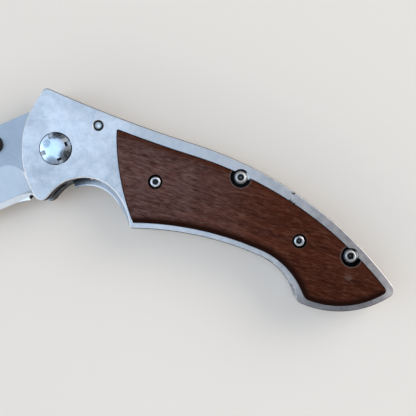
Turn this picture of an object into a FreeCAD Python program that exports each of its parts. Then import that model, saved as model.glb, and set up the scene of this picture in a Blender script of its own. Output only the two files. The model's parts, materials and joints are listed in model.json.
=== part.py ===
import FreeCAD, Part
import math
import os

# Folding pocket knife with a liner lock, lying open on its back. Millimetres.
# Every piece is drawn about the blade pivot: X towards the butt, Y towards the spine of
# the handle, Z out of the front face, Z = 0 at the middle of the blade's thickness.
# At the end the knife is moved so that the origin is the bottom centre of its box.

V = FreeCAD.Vector
UP = V(0, 0, 1)

# Layers through the thickness
BLADE_T = 2.8
WASHER_T = 0.4
AXIAL_PLAY = 0.03
LINER_T = 1.2
FRAME_T = 3.0
POCKET_DEPTH = 1.2
INLAY_PROUD = 1.0

# Handle outline
NOSE = V(-2.9, 17.78)
NOSE_HEADING = -24.35
SPINE_TURN = V(40.0, 1.4)
TAIL = V(99.05, -41.6)
BUTT_LOW = V(82.1, -47.3)
HEEL = V(70.0, -44.4)
HOOK_TOP = V(58.9, -31.0)
GUARD = V(21.6, -23.2)
GROOVE_CENTRE = V(8.1, -20.6)
GROOVE_R = 12.2
GROOVE_FLARE = 37.4
CHIN_STAND = 0.94
CHIN_BEARING = 161.7
FRONT_MID = V(-9.85, -0.6)
NOSE_R = 1.5
CHIN_R = 2.2
GUARD_R = 0.9
HEEL_R = 3.0
TAIL_R = 2.2
FRAME_EDGE_R = 0.3

# Wooden inlay and its pocket
RIM = 1.6
SPINE_RIM_EXTRA = V(-0.82, 2.02)
HEEL_RIM_EXTRA = V(0.8, -0.3)
BOLSTER_TOP = V(18.2, 12.0)
BOLSTER_MID = V(18.25, -5.0)
BOLSTER_LOW = V(23.9, -25.0)
INLAY_GAP = 0.1
POCKET_CORNER_R = 0.4
POCKET_HEEL_R = 3.0
POCKET_TAIL_R = 1.2
ROLL_RUN = 3.0
ROLL_DROP = 0.8
ROLL_CREST = 0.02

# Screws. The button head's rim and flat are shares of its height and radius
BODY_SCREWS = [V(53.7, -8.35), V(85.65, -31.25)]
BODY_HEAD_D = 4.0
BODY_HEAD_H = 1.2
BODY_SHANK_D = 2.5
BODY_SHANK_END = 0.1
BODY_WELL_D = 4.8
BODY_WELL_DEPTH = 1.6
BODY_CUTOUT_D = 6.0
INLAY_SCREWS = [V(29.0, -9.7), V(70.6, -26.8)]
INLAY_HEAD_D = 3.6
INLAY_HEAD_H = 1.1
INLAY_SHANK_D = 2.0
INLAY_SHANK_GAP = 0.1
INLAY_WELL_D = 4.1
INLAY_WELL_DEPTH = 1.35
BUTTON_RIM = 0.3
BUTTON_FLAT = 0.62
BUTTON_BULGE = (0.87, 0.78)
SOCKET_W = 1.8
SOCKET_DEPTH = 0.8
THREAD_GAP = 0.03

# Pivot
PIVOT_D = 6.0
PIVOT_FIT = 0.04
PIVOT_HEAD_D = 9.0
PIVOT_HEAD_EDGE = 0.75
PIVOT_DOME = 0.7
PIVOT_RECESS = 0.6
PIVOT_RECESS_GAP = 0.25
PIVOT_NOTCH_W = 1.3
PIVOT_NOTCH_LEN = 1.5
PIVOT_NOTCH_DEPTH = 0.9
PIVOT_NOTCH_ANGLE = 21.0
PIVOT_BORE_D = 3.5
PIVOT_END_GAP = 0.2
WASHER_D = 12.0

# Stop pin and the blade's swing
STOP_PIN = V(12.4, 6.7)
STOP_PIN_D = 3.0
STOP_PIN_ROUND = 0.45
STOP_PIN_SINK = 0.12
STOP_GAP = 0.03
BLADE_SWING = 134.0

# Blade: U runs from the pivot to the tip, W from the pivot to the spine of the blade
BLADE_DROOP = 23.2
SPINE_W = 13.6
SPINE_BREAK_U = 34.0
TANG_BACK_U = -4.0
EDGE_W = -9.3
HEEL_U = 14.05
HEEL_DROP = 0.9
HEEL_RUN = 5.0
HEEL_BEND = 0.27
BELLY_U = 44.0
TIP_U = 90.0
TIP_W = 3.1
TANG_REAR_R = 7.6
TANG_LOCK_R = 10.2
OPEN_STOP_REACH = 14.4
CLOSED_STOP_REACH = 15.0
CHOIL = V(-7.5, -13.3)
LOCK_FACE = -68.3
GRIND_SHARE_ROOT = 0.52
GRIND_SHARE_TIP = 0.9
PLUNGE_U = 11.2
PLUNGE_RUN = 6.0
PLUNGE_FOOT = 0.25
PLUNGE_STATIONS = 6
EDGE_BEVEL = 1.7
EDGE_BEVEL_SHARE = 0.3
TIP_WIDTH = 0.4
BEVEL_T = 0.9
EDGE_T = 0.14
GRIND_STATIONS = 9

# Thumb studs
STUD_U = 17.2
STUD_W = 8.95
STUD_FLANGE_D = 5.8
STUD_FLANGE_T = 0.15
STUD_FLANGE_SLOPE = 0.22
STUD_WAIST_D = 3.6
STUD_HEAD_D = 4.2
STUD_H = 3.2
STUD_GRIP = 0.5
STUD_EDGE = 0.4
STUD_DISH_RIM = 0.9
STUD_DISH = 0.25
STUD_SHANK_D = 2.6
STUD_TENON_D = 1.8
STUD_TENON_GAP = 0.1

# Liner, lock bar and detent ball
LINER_INSET = 0.4
BAR_PROUD = 2.5
BAR_GUARD_PROUD = 1.3
BAR_TANG_GAP = 0.4
BAR_INNER_END = -38.0
BAR_ROOT = V(43.0, -22.0)
BAR_ROOT_TOP = V(44.2, -17.4)
BAR_SLIT_HEADING = 15.0
BAR_SLIT_TURNS = [V(19.0, -9.2), V(27.0, -14.9)]
SLIT_W = 0.7
LOCK_GAP = 0.03
BAR_TIP_SHIFT = 1.6
BAR_RELIEF = 0.03
ROOT_GAP = 0.04
BALL_AT = V(9.5, -8.2)
BALL_D = 1.6
BALL_SEAT_GAP = 0.02
BALL_HOLE_GAP = 0.05
BALL_BITE = 0.25
BALL_HOLE_DEPTH = 0.45

# Backspacer
SPACER_W = 5.0
SPINE_SIDE = V(0.6, 0.8)
SPACER_FRONT_X = 19.5
SPACER_BOSS_D = 5.0

CHANNEL = BLADE_T / 2 + WASHER_T + AXIAL_PLAY
FRONT_FACE = CHANNEL + FRAME_T
BACK_SEAT = -CHANNEL - LINER_T
MIDDLE = (CHANNEL + BACK_SEAT) / 2

# How far the cutting shapes run past the knife, and how near a corner is rounded
OVER = 30.0
FAR = 200.0
CORNER_REACH = 7.0


def polar(radius, degrees):
    angle = math.radians(degrees)
    return V(radius * math.cos(angle), radius * math.sin(angle))


def bearing(vector):
    return math.degrees(math.atan2(vector.y, vector.x))


def turned(vector, degrees):
    return polar(vector.Length, bearing(vector) + degrees)


def line(start, end):
    return Part.makeLine(start, end)


def arc(start, middle, end):
    return Part.Arc(start, middle, end).toShape()


def leaving_arc(start, heading, end):
    """Arc that leaves start on a heading and reaches end, with its heading there."""
    chord = end - start
    turn = bearing(chord) - heading
    turn = (turn + 180) % 360 - 180
    rise = chord.Length / 2 * math.tan(math.radians(turn) / 2)
    left = V(-chord.y, chord.x).normalize()
    middle = (start + end) * 0.5 - left * rise
    if abs(turn) < 0.01:
        return line(start, end), heading
    return arc(start, middle, end), heading + 2 * turn


def centred_arc(radius, start, end, centre=V(0, 0)):
    middle = (start + end) / 2
    return arc(centre + polar(radius, start), centre + polar(radius, middle),
               centre + polar(radius, end))


def face_of(edges):
    return Part.Face(Part.Wire(Part.__sortEdges__(edges)))


def polygon_face(points):
    return Part.Face(Part.makePolygon(points + points[:1]))


def raised(face, bottom, top):
    solid = face.extrude(V(0, 0, top - bottom))
    solid.translate(V(0, 0, bottom))
    return solid


def cap_arc(radius, low, high):
    """Arc of a ball centred on the Z axis, from a rim to its crown."""
    rise = high - low
    ball = (radius * radius + rise * rise) / (2 * rise)
    half = math.asin(radius / ball) / 2
    middle = V(ball * math.sin(half), 0, high - ball + ball * math.cos(half))
    return arc(V(radius, 0, low), middle, V(0, 0, high))


def cylinder(centre, diameter, bottom, top):
    return Part.makeCylinder(diameter / 2, top - bottom, V(centre.x, centre.y, bottom), UP)


def merged(shapes):
    first = shapes[0]
    for other in shapes[1:]:
        first = first.fuse(other)
    return first.removeSplitter()


def drawn_in(face, inset, radius):
    """A face drawn in by an inset, its corners rounded."""
    return face.makeOffset2D(-inset - radius).makeOffset2D(radius)


def rounded(face, corner, radius):
    """A face with its one outward corner near a point rounded."""
    spot = Part.Face(Part.Wire(Part.makeCircle(CORNER_REACH, corner)))
    slivers = face.cut(drawn_in(face, 0, radius))
    return face.cut(slivers.common(spot)).Faces[0]


def edges_at_height(solid, height):
    return [e for e in solid.Edges if abs(e.BoundBox.ZMin - height) < 1e-4
            and abs(e.BoundBox.ZMax - height) < 1e-4]


def mirrored(shape):
    """The same piece on the back of the knife."""
    return shape.mirror(V(0, 0, MIDDLE), UP)


CHIN = GROOVE_CENTRE + polar(GROOVE_R + CHIN_STAND, CHIN_BEARING)


def long_edges(guard, heel):
    """The handle's outline from the nose round the butt to the guard."""
    spine, heading = leaving_arc(NOSE, NOSE_HEADING, SPINE_TURN)
    back, heading = leaving_arc(SPINE_TURN, heading, TAIL)
    low, heading = leaving_arc(guard, 0, HOOK_TOP)
    hook, heading = leaving_arc(HOOK_TOP, heading, heel)
    return [spine, back, arc(TAIL, BUTT_LOW, heel), hook, low]


def outline_face(groove_radius, guard):
    """Side view of the handle with sharp corners; a straight flank runs from groove to chin."""
    to_chin = CHIN - GROOVE_CENTRE
    start = bearing(to_chin) - math.degrees(math.acos(groove_radius / to_chin.Length))
    groove_foot = GROOVE_CENTRE + polar(groove_radius, start)
    flare = GROOVE_CENTRE + polar(groove_radius, GROOVE_FLARE)
    groove = centred_arc(groove_radius, start, GROOVE_FLARE, GROOVE_CENTRE)
    groove_side, heading = leaving_arc(flare, GROOVE_FLARE - 90, guard)
    return face_of(long_edges(guard, HEEL) + [groove_side, groove, line(CHIN, groove_foot),
                                              arc(CHIN, FRONT_MID, NOSE)])


HANDLE = outline_face(GROOVE_R, GUARD)
for corner, radius in [(NOSE, NOSE_R), (CHIN, CHIN_R), (GUARD, GUARD_R), (HEEL, HEEL_R), (TAIL, TAIL_R)]:
    HANDLE = rounded(HANDLE, corner, radius)
INSET = HANDLE.makeOffset2D(-LINER_INSET)


def pocket_face():
    """Side view of the inlay's pocket: the handle drawn in by its rim, behind the bolster."""
    edges = long_edges(GUARD, HEEL + HEEL_RIM_EXTRA)
    square = V(NOSE.x, GUARD.y)
    inner = face_of(edges + [line(GUARD, square), line(square, NOSE)]).makeOffset2D(-RIM)
    front_foot = V(NOSE.x, -FAR)
    back_foot = V(TAIL.x, -FAR)
    lowered = face_of(edges[:2] + [line(TAIL, back_foot), line(back_foot, front_foot),
                                   line(front_foot, NOSE)]).makeOffset2D(-RIM)
    lowered.translate(SPINE_RIM_EXTRA * -1)
    behind = face_of([arc(BOLSTER_TOP, BOLSTER_MID, BOLSTER_LOW),
                      line(BOLSTER_LOW, V(FAR, BOLSTER_LOW.y - FAR)),
                      line(V(FAR, BOLSTER_LOW.y - FAR), V(FAR, BOLSTER_TOP.y)),
                      line(V(FAR, BOLSTER_TOP.y), BOLSTER_TOP)])
    pocket = inner.common(lowered).common(behind).Faces[0]
    return rounded(rounded(pocket, HEEL, POCKET_HEEL_R), TAIL, POCKET_TAIL_R)


POCKET = pocket_face()


def button_screw(at, seat, head_d, head_h, shank_d, shank_end):
    """Button-head screw standing upright with a hexagon socket."""
    radius = head_d / 2
    rim = head_h * BUTTON_RIM
    flat = radius * BUTTON_FLAT
    bulge = V(radius * BUTTON_BULGE[0], 0, head_h * BUTTON_BULGE[1])
    profile = face_of([line(V(0, 0, 0), V(radius, 0, 0)), line(V(radius, 0, 0), V(radius, 0, rim)),
                       arc(V(radius, 0, rim), bulge, V(flat, 0, head_h)),
                       line(V(flat, 0, head_h), V(0, 0, head_h)), line(V(0, 0, head_h), V(0, 0, 0))])
    head = profile.revolve(V(0, 0, 0), UP, 360)
    socket = polygon_face([polar(SOCKET_W / math.sqrt(3), 60 * k) for k in range(6)])
    head = head.cut(raised(socket, head_h - SOCKET_DEPTH, head_h + OVER))
    head.translate(V(at.x, at.y, seat))
    return merged([head, cylinder(at, shank_d, shank_end, seat)])


def front_body_screws():
    seat = FRONT_FACE - BODY_WELL_DEPTH
    return Part.makeCompound([button_screw(p, seat, BODY_HEAD_D, BODY_HEAD_H, BODY_SHANK_D,
                                           BODY_SHANK_END) for p in BODY_SCREWS])


def front_inlay_screws():
    seat = FRONT_FACE + INLAY_PROUD - INLAY_WELL_DEPTH
    return Part.makeCompound([button_screw(p, seat, INLAY_HEAD_D, INLAY_HEAD_H, INLAY_SHANK_D,
                                           CHANNEL + INLAY_SHANK_GAP) for p in INLAY_SCREWS])


def front_frame():
    plate = raised(HANDLE, CHANNEL, FRONT_FACE)
    plate = plate.makeFillet(FRAME_EDGE_R, edges_at_height(plate, FRONT_FACE))
    floor = FRONT_FACE - POCKET_DEPTH
    plate = plate.cut(raised(drawn_in(POCKET, 0, POCKET_CORNER_R), floor, OVER))
    pin_d = STOP_PIN_D + 2 * THREAD_GAP
    cuts = [cylinder(V(0, 0), PIVOT_D + 2 * PIVOT_FIT, 0, OVER),
            cylinder(V(0, 0), PIVOT_HEAD_D + 2 * PIVOT_RECESS_GAP, FRONT_FACE - PIVOT_RECESS, OVER),
            cylinder(STOP_PIN, pin_d, 0, OVER),
            Part.makeCone(pin_d / 2, pin_d / 2 + STOP_PIN_SINK, STOP_PIN_SINK,
                          V(STOP_PIN.x, STOP_PIN.y, FRONT_FACE - STOP_PIN_SINK), UP)]
    for p in BODY_SCREWS:
        cuts.append(cylinder(p, BODY_SHANK_D + 2 * THREAD_GAP, 0, OVER))
        cuts.append(cylinder(p, BODY_WELL_D, FRONT_FACE - BODY_WELL_DEPTH, OVER))
    for p in INLAY_SCREWS:
        cuts.append(cylinder(p, INLAY_SHANK_D + 2 * THREAD_GAP, 0, OVER))
    return plate.cut(cuts)


def edge_roll(edge, face, top):
    """Sliver that rolls the top of a slab over along one arc of its outline."""
    centre = V(edge.Curve.Center.x, edge.Curve.Center.y)
    radius = edge.Curve.Radius
    middle = edge.valueAt(sum(edge.ParameterRange) / 2)
    half = math.degrees(edge.Length / 2 / radius) + math.degrees(ROLL_RUN / radius)
    towards = (centre - middle).normalize()
    inward = -1 if face.isInside(middle + towards * 0.1, 0.01, True) else 1
    roll_r = (ROLL_RUN ** 2 + ROLL_DROP ** 2) / (2 * ROLL_DROP)

    def at(run):
        fall = roll_r - math.sqrt(roll_r ** 2 - (ROLL_RUN - run) ** 2)
        return V(radius + inward * run, 0, top + ROLL_CREST - fall)

    low = at(-ROLL_DROP)
    crest = at(ROLL_RUN)
    over = V(0, 0, OVER)
    profile = face_of([arc(low, at(ROLL_RUN / 2), crest), line(crest, crest + over),
                       line(crest + over, low + over), line(low + over, low)])
    roll = profile.revolve(V(0, 0, 0), UP, 2 * half)
    roll.rotate(V(0, 0, 0), UP, bearing(middle - centre) - half)
    roll.translate(centre)
    return roll


def front_inlay():
    top = FRONT_FACE + INLAY_PROUD
    face = drawn_in(POCKET, INLAY_GAP, POCKET_CORNER_R)
    slab = raised(face, FRONT_FACE - POCKET_DEPTH, top)
    for edge in face.Edges:
        behind_bolster = edge.CenterOfMass.x > BOLSTER_LOW.x
        if behind_bolster and edge.Curve.Radius > 2 * ROLL_RUN:
            slab = slab.cut(edge_roll(edge, face, top))
    cuts = []
    for p in BODY_SCREWS:
        cuts.append(cylinder(p, BODY_CUTOUT_D, 0, OVER))
    for p in INLAY_SCREWS:
        cuts.append(cylinder(p, INLAY_SHANK_D + 2 * THREAD_GAP, 0, OVER))
        cuts.append(cylinder(p, INLAY_WELL_D, top - INLAY_WELL_DEPTH, OVER))
    return slab.cut(cuts)


def stop_pin():
    pin = cylinder(STOP_PIN, STOP_PIN_D, BACK_SEAT - FRAME_T, FRONT_FACE)
    return pin.makeFillet(STOP_PIN_ROUND, [e for e in pin.Edges if e.Closed])


def domed_head(bottom):
    """Round pivot head with a low dome and four notches in its rim."""
    radius = PIVOT_HEAD_D / 2
    shoulder = bottom + PIVOT_HEAD_EDGE
    crown = shoulder + PIVOT_DOME
    profile = face_of([line(V(0, 0, bottom), V(radius, 0, bottom)),
                       line(V(radius, 0, bottom), V(radius, 0, shoulder)),
                       cap_arc(radius, shoulder, crown),
                       line(V(0, 0, crown), V(0, 0, bottom))])
    head = profile.revolve(V(0, 0, 0), UP, 360)
    for k in range(4):
        notch = Part.makeBox(OVER, PIVOT_NOTCH_W, OVER,
                             V(radius - PIVOT_NOTCH_LEN, -PIVOT_NOTCH_W / 2, crown - PIVOT_NOTCH_DEPTH))
        notch.rotate(V(0, 0, 0), UP, PIVOT_NOTCH_ANGLE + 90 * k)
        head = head.cut(notch)
    return head


def pivot_barrel():
    seat = FRONT_FACE - PIVOT_RECESS
    tail = BACK_SEAT - FRAME_T + PIVOT_RECESS + PIVOT_END_GAP
    barrel = cylinder(V(0, 0), PIVOT_D, tail, seat)
    bore = cylinder(V(0, 0), PIVOT_BORE_D + 2 * THREAD_GAP, -OVER, CHANNEL)
    return merged([domed_head(seat), barrel]).cut(bore)


def pivot_screw():
    head = mirrored(domed_head(FRONT_FACE - PIVOT_RECESS))
    seat = BACK_SEAT - FRAME_T + PIVOT_RECESS
    shank = cylinder(V(0, 0), PIVOT_BORE_D, seat, CHANNEL - PIVOT_END_GAP)
    return merged([head, shank])


def washer(bottom):
    ring = cylinder(V(0, 0), WASHER_D, bottom, bottom + WASHER_T)
    return ring.cut(cylinder(V(0, 0), PIVOT_D + 2 * PIVOT_FIT, -OVER, OVER))


def blade_point(u, w):
    return turned(V(-u, w), BLADE_DROOP)


def bow(u, start, rise):
    """Rise of an arc that leaves a level line at start and climbs to the tip."""
    run = TIP_U - start
    radius = (run * run + rise * rise) / (2 * rise)
    past = min(max(u - start, 0), radius)
    return radius - math.sqrt(radius * radius - past * past)


def edge_w(u):
    return EDGE_W + bow(u, BELLY_U, TIP_W - EDGE_W)


def spine_w(u):
    return SPINE_W - bow(u, SPINE_BREAK_U, SPINE_W - TIP_W)


def blade_face():
    """Side view of the blade and its tang, open."""
    tip = blade_point(TIP_U, TIP_W)
    ahead = 180 + BLADE_DROOP
    spine_break = blade_point(SPINE_BREAK_U, SPINE_W)
    belly = blade_point(BELLY_U, EDGE_W)
    heel = blade_point(HEEL_U, EDGE_W - HEEL_DROP)
    heel_end = blade_point(HEEL_U + HEEL_RUN, EDGE_W)
    heel_mid = blade_point(HEEL_U + HEEL_RUN / 2, EDGE_W - HEEL_DROP * HEEL_BEND)
    clear = STOP_PIN_D / 2 + STOP_GAP
    out = turned(STOP_PIN, 0).normalize()
    side = turned(out, 90)
    open_out = out * OPEN_STOP_REACH + side * clear
    open_in = out * math.sqrt(TANG_REAR_R ** 2 - clear ** 2) + side * clear
    out = turned(out, -BLADE_SWING)
    side = turned(out, -90)
    closed_out = out * CLOSED_STOP_REACH + side * clear
    closed_in = out * math.sqrt(TANG_LOCK_R ** 2 - clear ** 2) + side * clear
    tang_back = blade_point(TANG_BACK_U, SPINE_W)
    return face_of([leaving_arc(belly, ahead, tip)[0], leaving_arc(spine_break, ahead, tip)[0],
                    line(spine_break, tang_back), line(tang_back, open_out), line(open_out, open_in),
                    centred_arc(TANG_REAR_R, bearing(open_in), LOCK_FACE),
                    line(polar(TANG_REAR_R, LOCK_FACE), polar(TANG_LOCK_R, LOCK_FACE)),
                    centred_arc(TANG_LOCK_R, LOCK_FACE, bearing(closed_in)),
                    line(closed_in, closed_out), line(closed_out, CHOIL), line(CHOIL, heel),
                    arc(heel, heel_mid, heel_end), line(heel_end, belly)])


def grind_section(u, depth, height):
    """Section of the metal ground off the front of the blade; depth and height run to 1."""
    edge = edge_w(u)
    width = max(spine_w(u) - edge, TIP_WIDTH)
    along = min(max((u - PLUNGE_U) / (TIP_U - PLUNGE_U), 0), 1)
    share = (GRIND_SHARE_ROOT + (GRIND_SHARE_TIP - GRIND_SHARE_ROOT) * along ** 2) * height
    face = BLADE_T / 2
    shoulder = face + (BEVEL_T / 2 - face) * depth
    lip = face + (EDGE_T / 2 - face) * depth
    outside = edge - 2 * HEEL_DROP
    above = face + BLADE_T
    bevel = min(EDGE_BEVEL, width * EDGE_BEVEL_SHARE)
    outline = [(edge + width * share, face), (edge + bevel, shoulder), (edge, lip),
               (outside, lip), (outside, above), (edge + width * share, above)]
    points = []
    for w, z in outline:
        foot = blade_point(u, w)
        points.append(V(foot.x, foot.y, z))
    return Part.makePolygon(points + points[:1])


def blade():
    blank = raised(blade_face(), -BLADE_T / 2, BLADE_T / 2)
    full_u = PLUNGE_U + PLUNGE_RUN
    step = (TIP_U + 1 - full_u) / (GRIND_STATIONS - 1)
    stations = [full_u + step * k for k in range(GRIND_STATIONS)]
    grind = Part.makeLoft([grind_section(u, 1, 1) for u in stations], True, False)
    sections = []
    for k in range(PLUNGE_STATIONS):
        turn = math.pi / 2 * k / (PLUNGE_STATIONS - 1)
        rise = math.sin(turn)
        sections.append(grind_section(PLUNGE_U + PLUNGE_RUN * (1 - math.cos(turn)), math.sqrt(rise),
                                      PLUNGE_FOOT + (1 - PLUNGE_FOOT) * rise))
    plunge = Part.makeLoft(sections, True, True)
    stud = blade_point(STUD_U, STUD_W)
    ball = turned(BALL_AT, -BLADE_SWING)
    cuts = [grind, plunge, grind.mirror(V(0, 0, 0), UP), plunge.mirror(V(0, 0, 0), UP),
            cylinder(V(0, 0), PIVOT_D + 2 * PIVOT_FIT, -OVER, OVER),
            cylinder(stud, STUD_SHANK_D + 2 * THREAD_GAP, -OVER, OVER),
            cylinder(ball, BALL_D + 2 * BALL_HOLE_GAP, -OVER, -BLADE_T / 2 + BALL_HOLE_DEPTH)]
    for cut in cuts:
        blank = blank.cut(cut)
    return blank


def stud_head():
    """Thumb stud standing on the blade's front face, drawn on the Z axis."""
    base = BLADE_T / 2
    top = base + STUD_H
    flange = STUD_FLANGE_D / 2
    waist = STUD_WAIST_D / 2
    head = STUD_HEAD_D / 2
    seat = base + STUD_FLANGE_T
    waist_top = seat + STUD_FLANGE_SLOPE
    grip = base + STUD_H * STUD_GRIP
    shoulder = top - STUD_EDGE
    flat = head - STUD_EDGE
    dish = head - STUD_DISH_RIM
    profile = face_of([line(V(0, 0, base), V(flange, 0, base)), line(V(flange, 0, base), V(flange, 0, seat)),
                       line(V(flange, 0, seat), V(waist, 0, waist_top)),
                       line(V(waist, 0, waist_top), V(waist, 0, grip - STUD_EDGE)),
                       line(V(waist, 0, grip - STUD_EDGE), V(head, 0, grip)),
                       line(V(head, 0, grip), V(head, 0, shoulder)),
                       arc(V(head, 0, shoulder), V(flat, 0, shoulder) + V(1, 0, 1).normalize() * STUD_EDGE,
                           V(flat, 0, top)),
                       line(V(flat, 0, top), V(dish, 0, top)), cap_arc(dish, top, top - STUD_DISH),
                       line(V(0, 0, top - STUD_DISH), V(0, 0, base))])
    return profile.revolve(V(0, 0, 0), UP, 360)


def front_thumb_stud():
    at = blade_point(STUD_U, STUD_W)
    stud = merged([stud_head(), cylinder(V(0, 0), STUD_SHANK_D, -BLADE_T / 2, BLADE_T / 2),
                   cylinder(V(0, 0), STUD_TENON_D, -BLADE_T / 2 - STUD_H * STUD_GRIP, -BLADE_T / 2)])
    stud.translate(at)
    return stud


def back_thumb_stud():
    at = blade_point(STUD_U, STUD_W)
    stud = stud_head().mirror(V(0, 0, 0), UP)
    bore_end = -BLADE_T / 2 - STUD_H * STUD_GRIP - STUD_TENON_GAP
    stud = stud.cut(cylinder(V(0, 0), STUD_TENON_D + 2 * THREAD_GAP, bore_end, 0))
    stud.translate(at)
    return stud


BAR_AXIS = (BAR_ROOT_TOP - BAR_ROOT).normalize()
BAR_PIVOT = V(BAR_ROOT.x, BAR_ROOT.y, -CHANNEL - LINER_T / 2)
BAR_GUARD = GUARD - V(BAR_GUARD_PROUD, 0)
LOCK_PLATE = outline_face(GROOVE_R - BAR_PROUD, BAR_GUARD).makeOffset2D(-LINER_INSET)


def bar_zone():
    """Side view of the strip of liner that the lock bar is cut from, open below."""
    side = turned(polar(1, LOCK_FACE), 90) * LOCK_GAP
    inner_r = TANG_REAR_R + BAR_TANG_GAP
    tip_in = polar(inner_r, LOCK_FACE) + side
    tip_out = polar(GROOVE_CENTRE.Length, LOCK_FACE) + side
    inner_end = polar(inner_r, BAR_INNER_END)
    inner_mid = polar(inner_r, (LOCK_FACE + BAR_INNER_END) / 2)
    below = BAR_ROOT - BAR_AXIS * OVER
    edges = [line(tip_out, tip_in), arc(tip_in, inner_mid, inner_end), line(BAR_ROOT_TOP, below),
             line(below, tip_out)]
    start = inner_end
    heading = BAR_SLIT_HEADING
    for end in BAR_SLIT_TURNS + [BAR_ROOT_TOP]:
        slit, heading = leaving_arc(start, heading, end)
        edges.append(slit)
        start = end
    return face_of(edges)


def bar_angle():
    tip = polar(TANG_LOCK_R, LOCK_FACE) - BAR_ROOT
    reach = abs(tip.x * BAR_AXIS.y - tip.y * BAR_AXIS.x)
    return math.degrees(math.asin(BAR_TIP_SHIFT / reach))


def root_roll(diameter, top):
    """Round along the line that the lock bar bends about, ending at its top."""
    return Part.makeCylinder(diameter / 2, OVER + top, BAR_PIVOT - BAR_AXIS * OVER, BAR_AXIS)


def lock_bar():
    back = -CHANNEL - LINER_T + BAR_RELIEF
    bar = raised(LOCK_PLATE.common(bar_zone()).Faces[0], back, -CHANNEL)
    plate = raised(LOCK_PLATE, back, -CHANNEL)
    roll = root_roll(LINER_T - 2 * BAR_RELIEF, (BAR_ROOT_TOP - BAR_ROOT).Length).common(plate)
    bar = merged([bar, roll])
    bar = bar.cut(cylinder(BALL_AT, BALL_D + 2 * BALL_SEAT_GAP, -OVER, 0))
    bar.rotate(BAR_PIVOT, BAR_AXIS, bar_angle())
    return bar


def detent_ball():
    rise = CHANNEL - BLADE_T / 2 + BALL_BITE
    ball = Part.makeSphere(BALL_D / 2, V(BALL_AT.x, BALL_AT.y, -CHANNEL + rise - BALL_D / 2))
    ball.rotate(BAR_PIVOT, BAR_AXIS, bar_angle())
    return ball


def lock_liner():
    """Full-length liner with the bar's strip cut out along a narrow slit."""
    zone = bar_zone()
    grown = zone.makeOffset2D(SLIT_W)
    behind = turned(BAR_AXIS, -90)
    high = BAR_ROOT_TOP + BAR_AXIS * OVER
    low = BAR_ROOT - BAR_AXIS * OVER
    keep = polygon_face([high, low, low - behind * FAR, high - behind * FAR])
    plate = raised(INSET, -CHANNEL - LINER_T, -CHANNEL)
    plate = plate.cut(raised(grown.common(keep), -OVER, 0))
    root_top = (BAR_ROOT_TOP - BAR_ROOT).Length + SLIT_W / 2
    plate = plate.cut(root_roll(LINER_T + 2 * ROOT_GAP, root_top))
    plate = plate.cut(cylinder(V(0, 0), PIVOT_D + 2 * PIVOT_FIT, -OVER, 0))
    plate = plate.cut(cylinder(STOP_PIN, STOP_PIN_D + 2 * THREAD_GAP, -OVER, 0))
    for p in BODY_SCREWS:
        plate = plate.cut(cylinder(p, BODY_SHANK_D + 2 * THREAD_GAP, -OVER, 0))
    return plate


def backspacer():
    """Strip that closes the spine between the front frame and the liner."""
    lowered = INSET.copy()
    lowered.translate(SPINE_SIDE * -SPACER_W)
    band = INSET.cut(lowered)
    behind = polygon_face([V(SPACER_FRONT_X, FAR), V(SPACER_FRONT_X, -FAR), V(FAR, -FAR), V(FAR, FAR)])
    strip = max(band.common(behind).Faces, key=lambda f: f.Area)
    pieces = [raised(strip, -CHANNEL, CHANNEL)]
    for p in BODY_SCREWS:
        pieces.append(cylinder(p, SPACER_BOSS_D, -CHANNEL, CHANNEL))
    spacer = merged(pieces)
    for p in BODY_SCREWS:
        spacer = spacer.cut(cylinder(p, BODY_SHANK_D + 2 * THREAD_GAP, -OVER, OVER))
    return spacer


NODES = {
    "front_frame": front_frame(),
    "front_inlay": front_inlay(),
    "front_inlay_screws": front_inlay_screws(),
    "front_body_screws": front_body_screws(),
    "lock_liner": lock_liner(),
    "backspacer": backspacer(),
    "stop_pin": stop_pin(),
    "pivot_barrel": pivot_barrel(),
    "pivot_screw": pivot_screw(),
    "front_washer": washer(CHANNEL - WASHER_T),
    "back_washer": washer(-CHANNEL),
    "blade": blade(),
    "front_thumb_stud": front_thumb_stud(),
    "back_thumb_stud": back_thumb_stud(),
    "lock_bar": lock_bar(),
    "detent_ball": detent_ball(),
}
for name in ["frame", "inlay", "inlay_screws", "body_screws"]:
    NODES["back_" + name] = mirrored(NODES["front_" + name])

box = FreeCAD.BoundBox()
for shape in NODES.values():
    box.add(shape.optimalBoundingBox(False, False))
SHIFT = V(-box.Center.x, -box.Center.y, -box.ZMin)

os.makedirs("parts", exist_ok=True)
for name, shape in NODES.items():
    shape.translate(SHIFT)
    piece = shape.Solids[0] if len(shape.Solids) == 1 else Part.makeCompound(shape.Solids)
    piece.exportStep(os.path.join("parts", name + ".step"))
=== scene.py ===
import json
import math

import bpy
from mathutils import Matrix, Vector


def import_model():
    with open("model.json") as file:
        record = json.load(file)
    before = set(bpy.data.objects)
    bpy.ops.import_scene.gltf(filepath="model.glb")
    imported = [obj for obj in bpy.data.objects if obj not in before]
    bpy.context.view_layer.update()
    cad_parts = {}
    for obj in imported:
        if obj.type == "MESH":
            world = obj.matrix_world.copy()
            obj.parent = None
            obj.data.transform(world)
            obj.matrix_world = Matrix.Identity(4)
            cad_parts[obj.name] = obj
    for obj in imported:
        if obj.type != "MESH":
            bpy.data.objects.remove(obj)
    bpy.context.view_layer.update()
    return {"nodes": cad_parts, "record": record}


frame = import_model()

MM = 0.001

# Places in the row frame, in millimetres
PIVOT = (-7.110, 14.923)
STOP_PIN = (5.290, 21.623)
BODY_SCREWS = [(46.590, 6.573), (78.540, -16.327)]
INLAY_SCREWS = [(21.890, 5.223), (63.490, -11.877)]
GROOVE = (0.990, -5.677)
BAR_TIP = (-3.5, 5.0)
BOLSTER_ARC = (80.171, 18.626)

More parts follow.
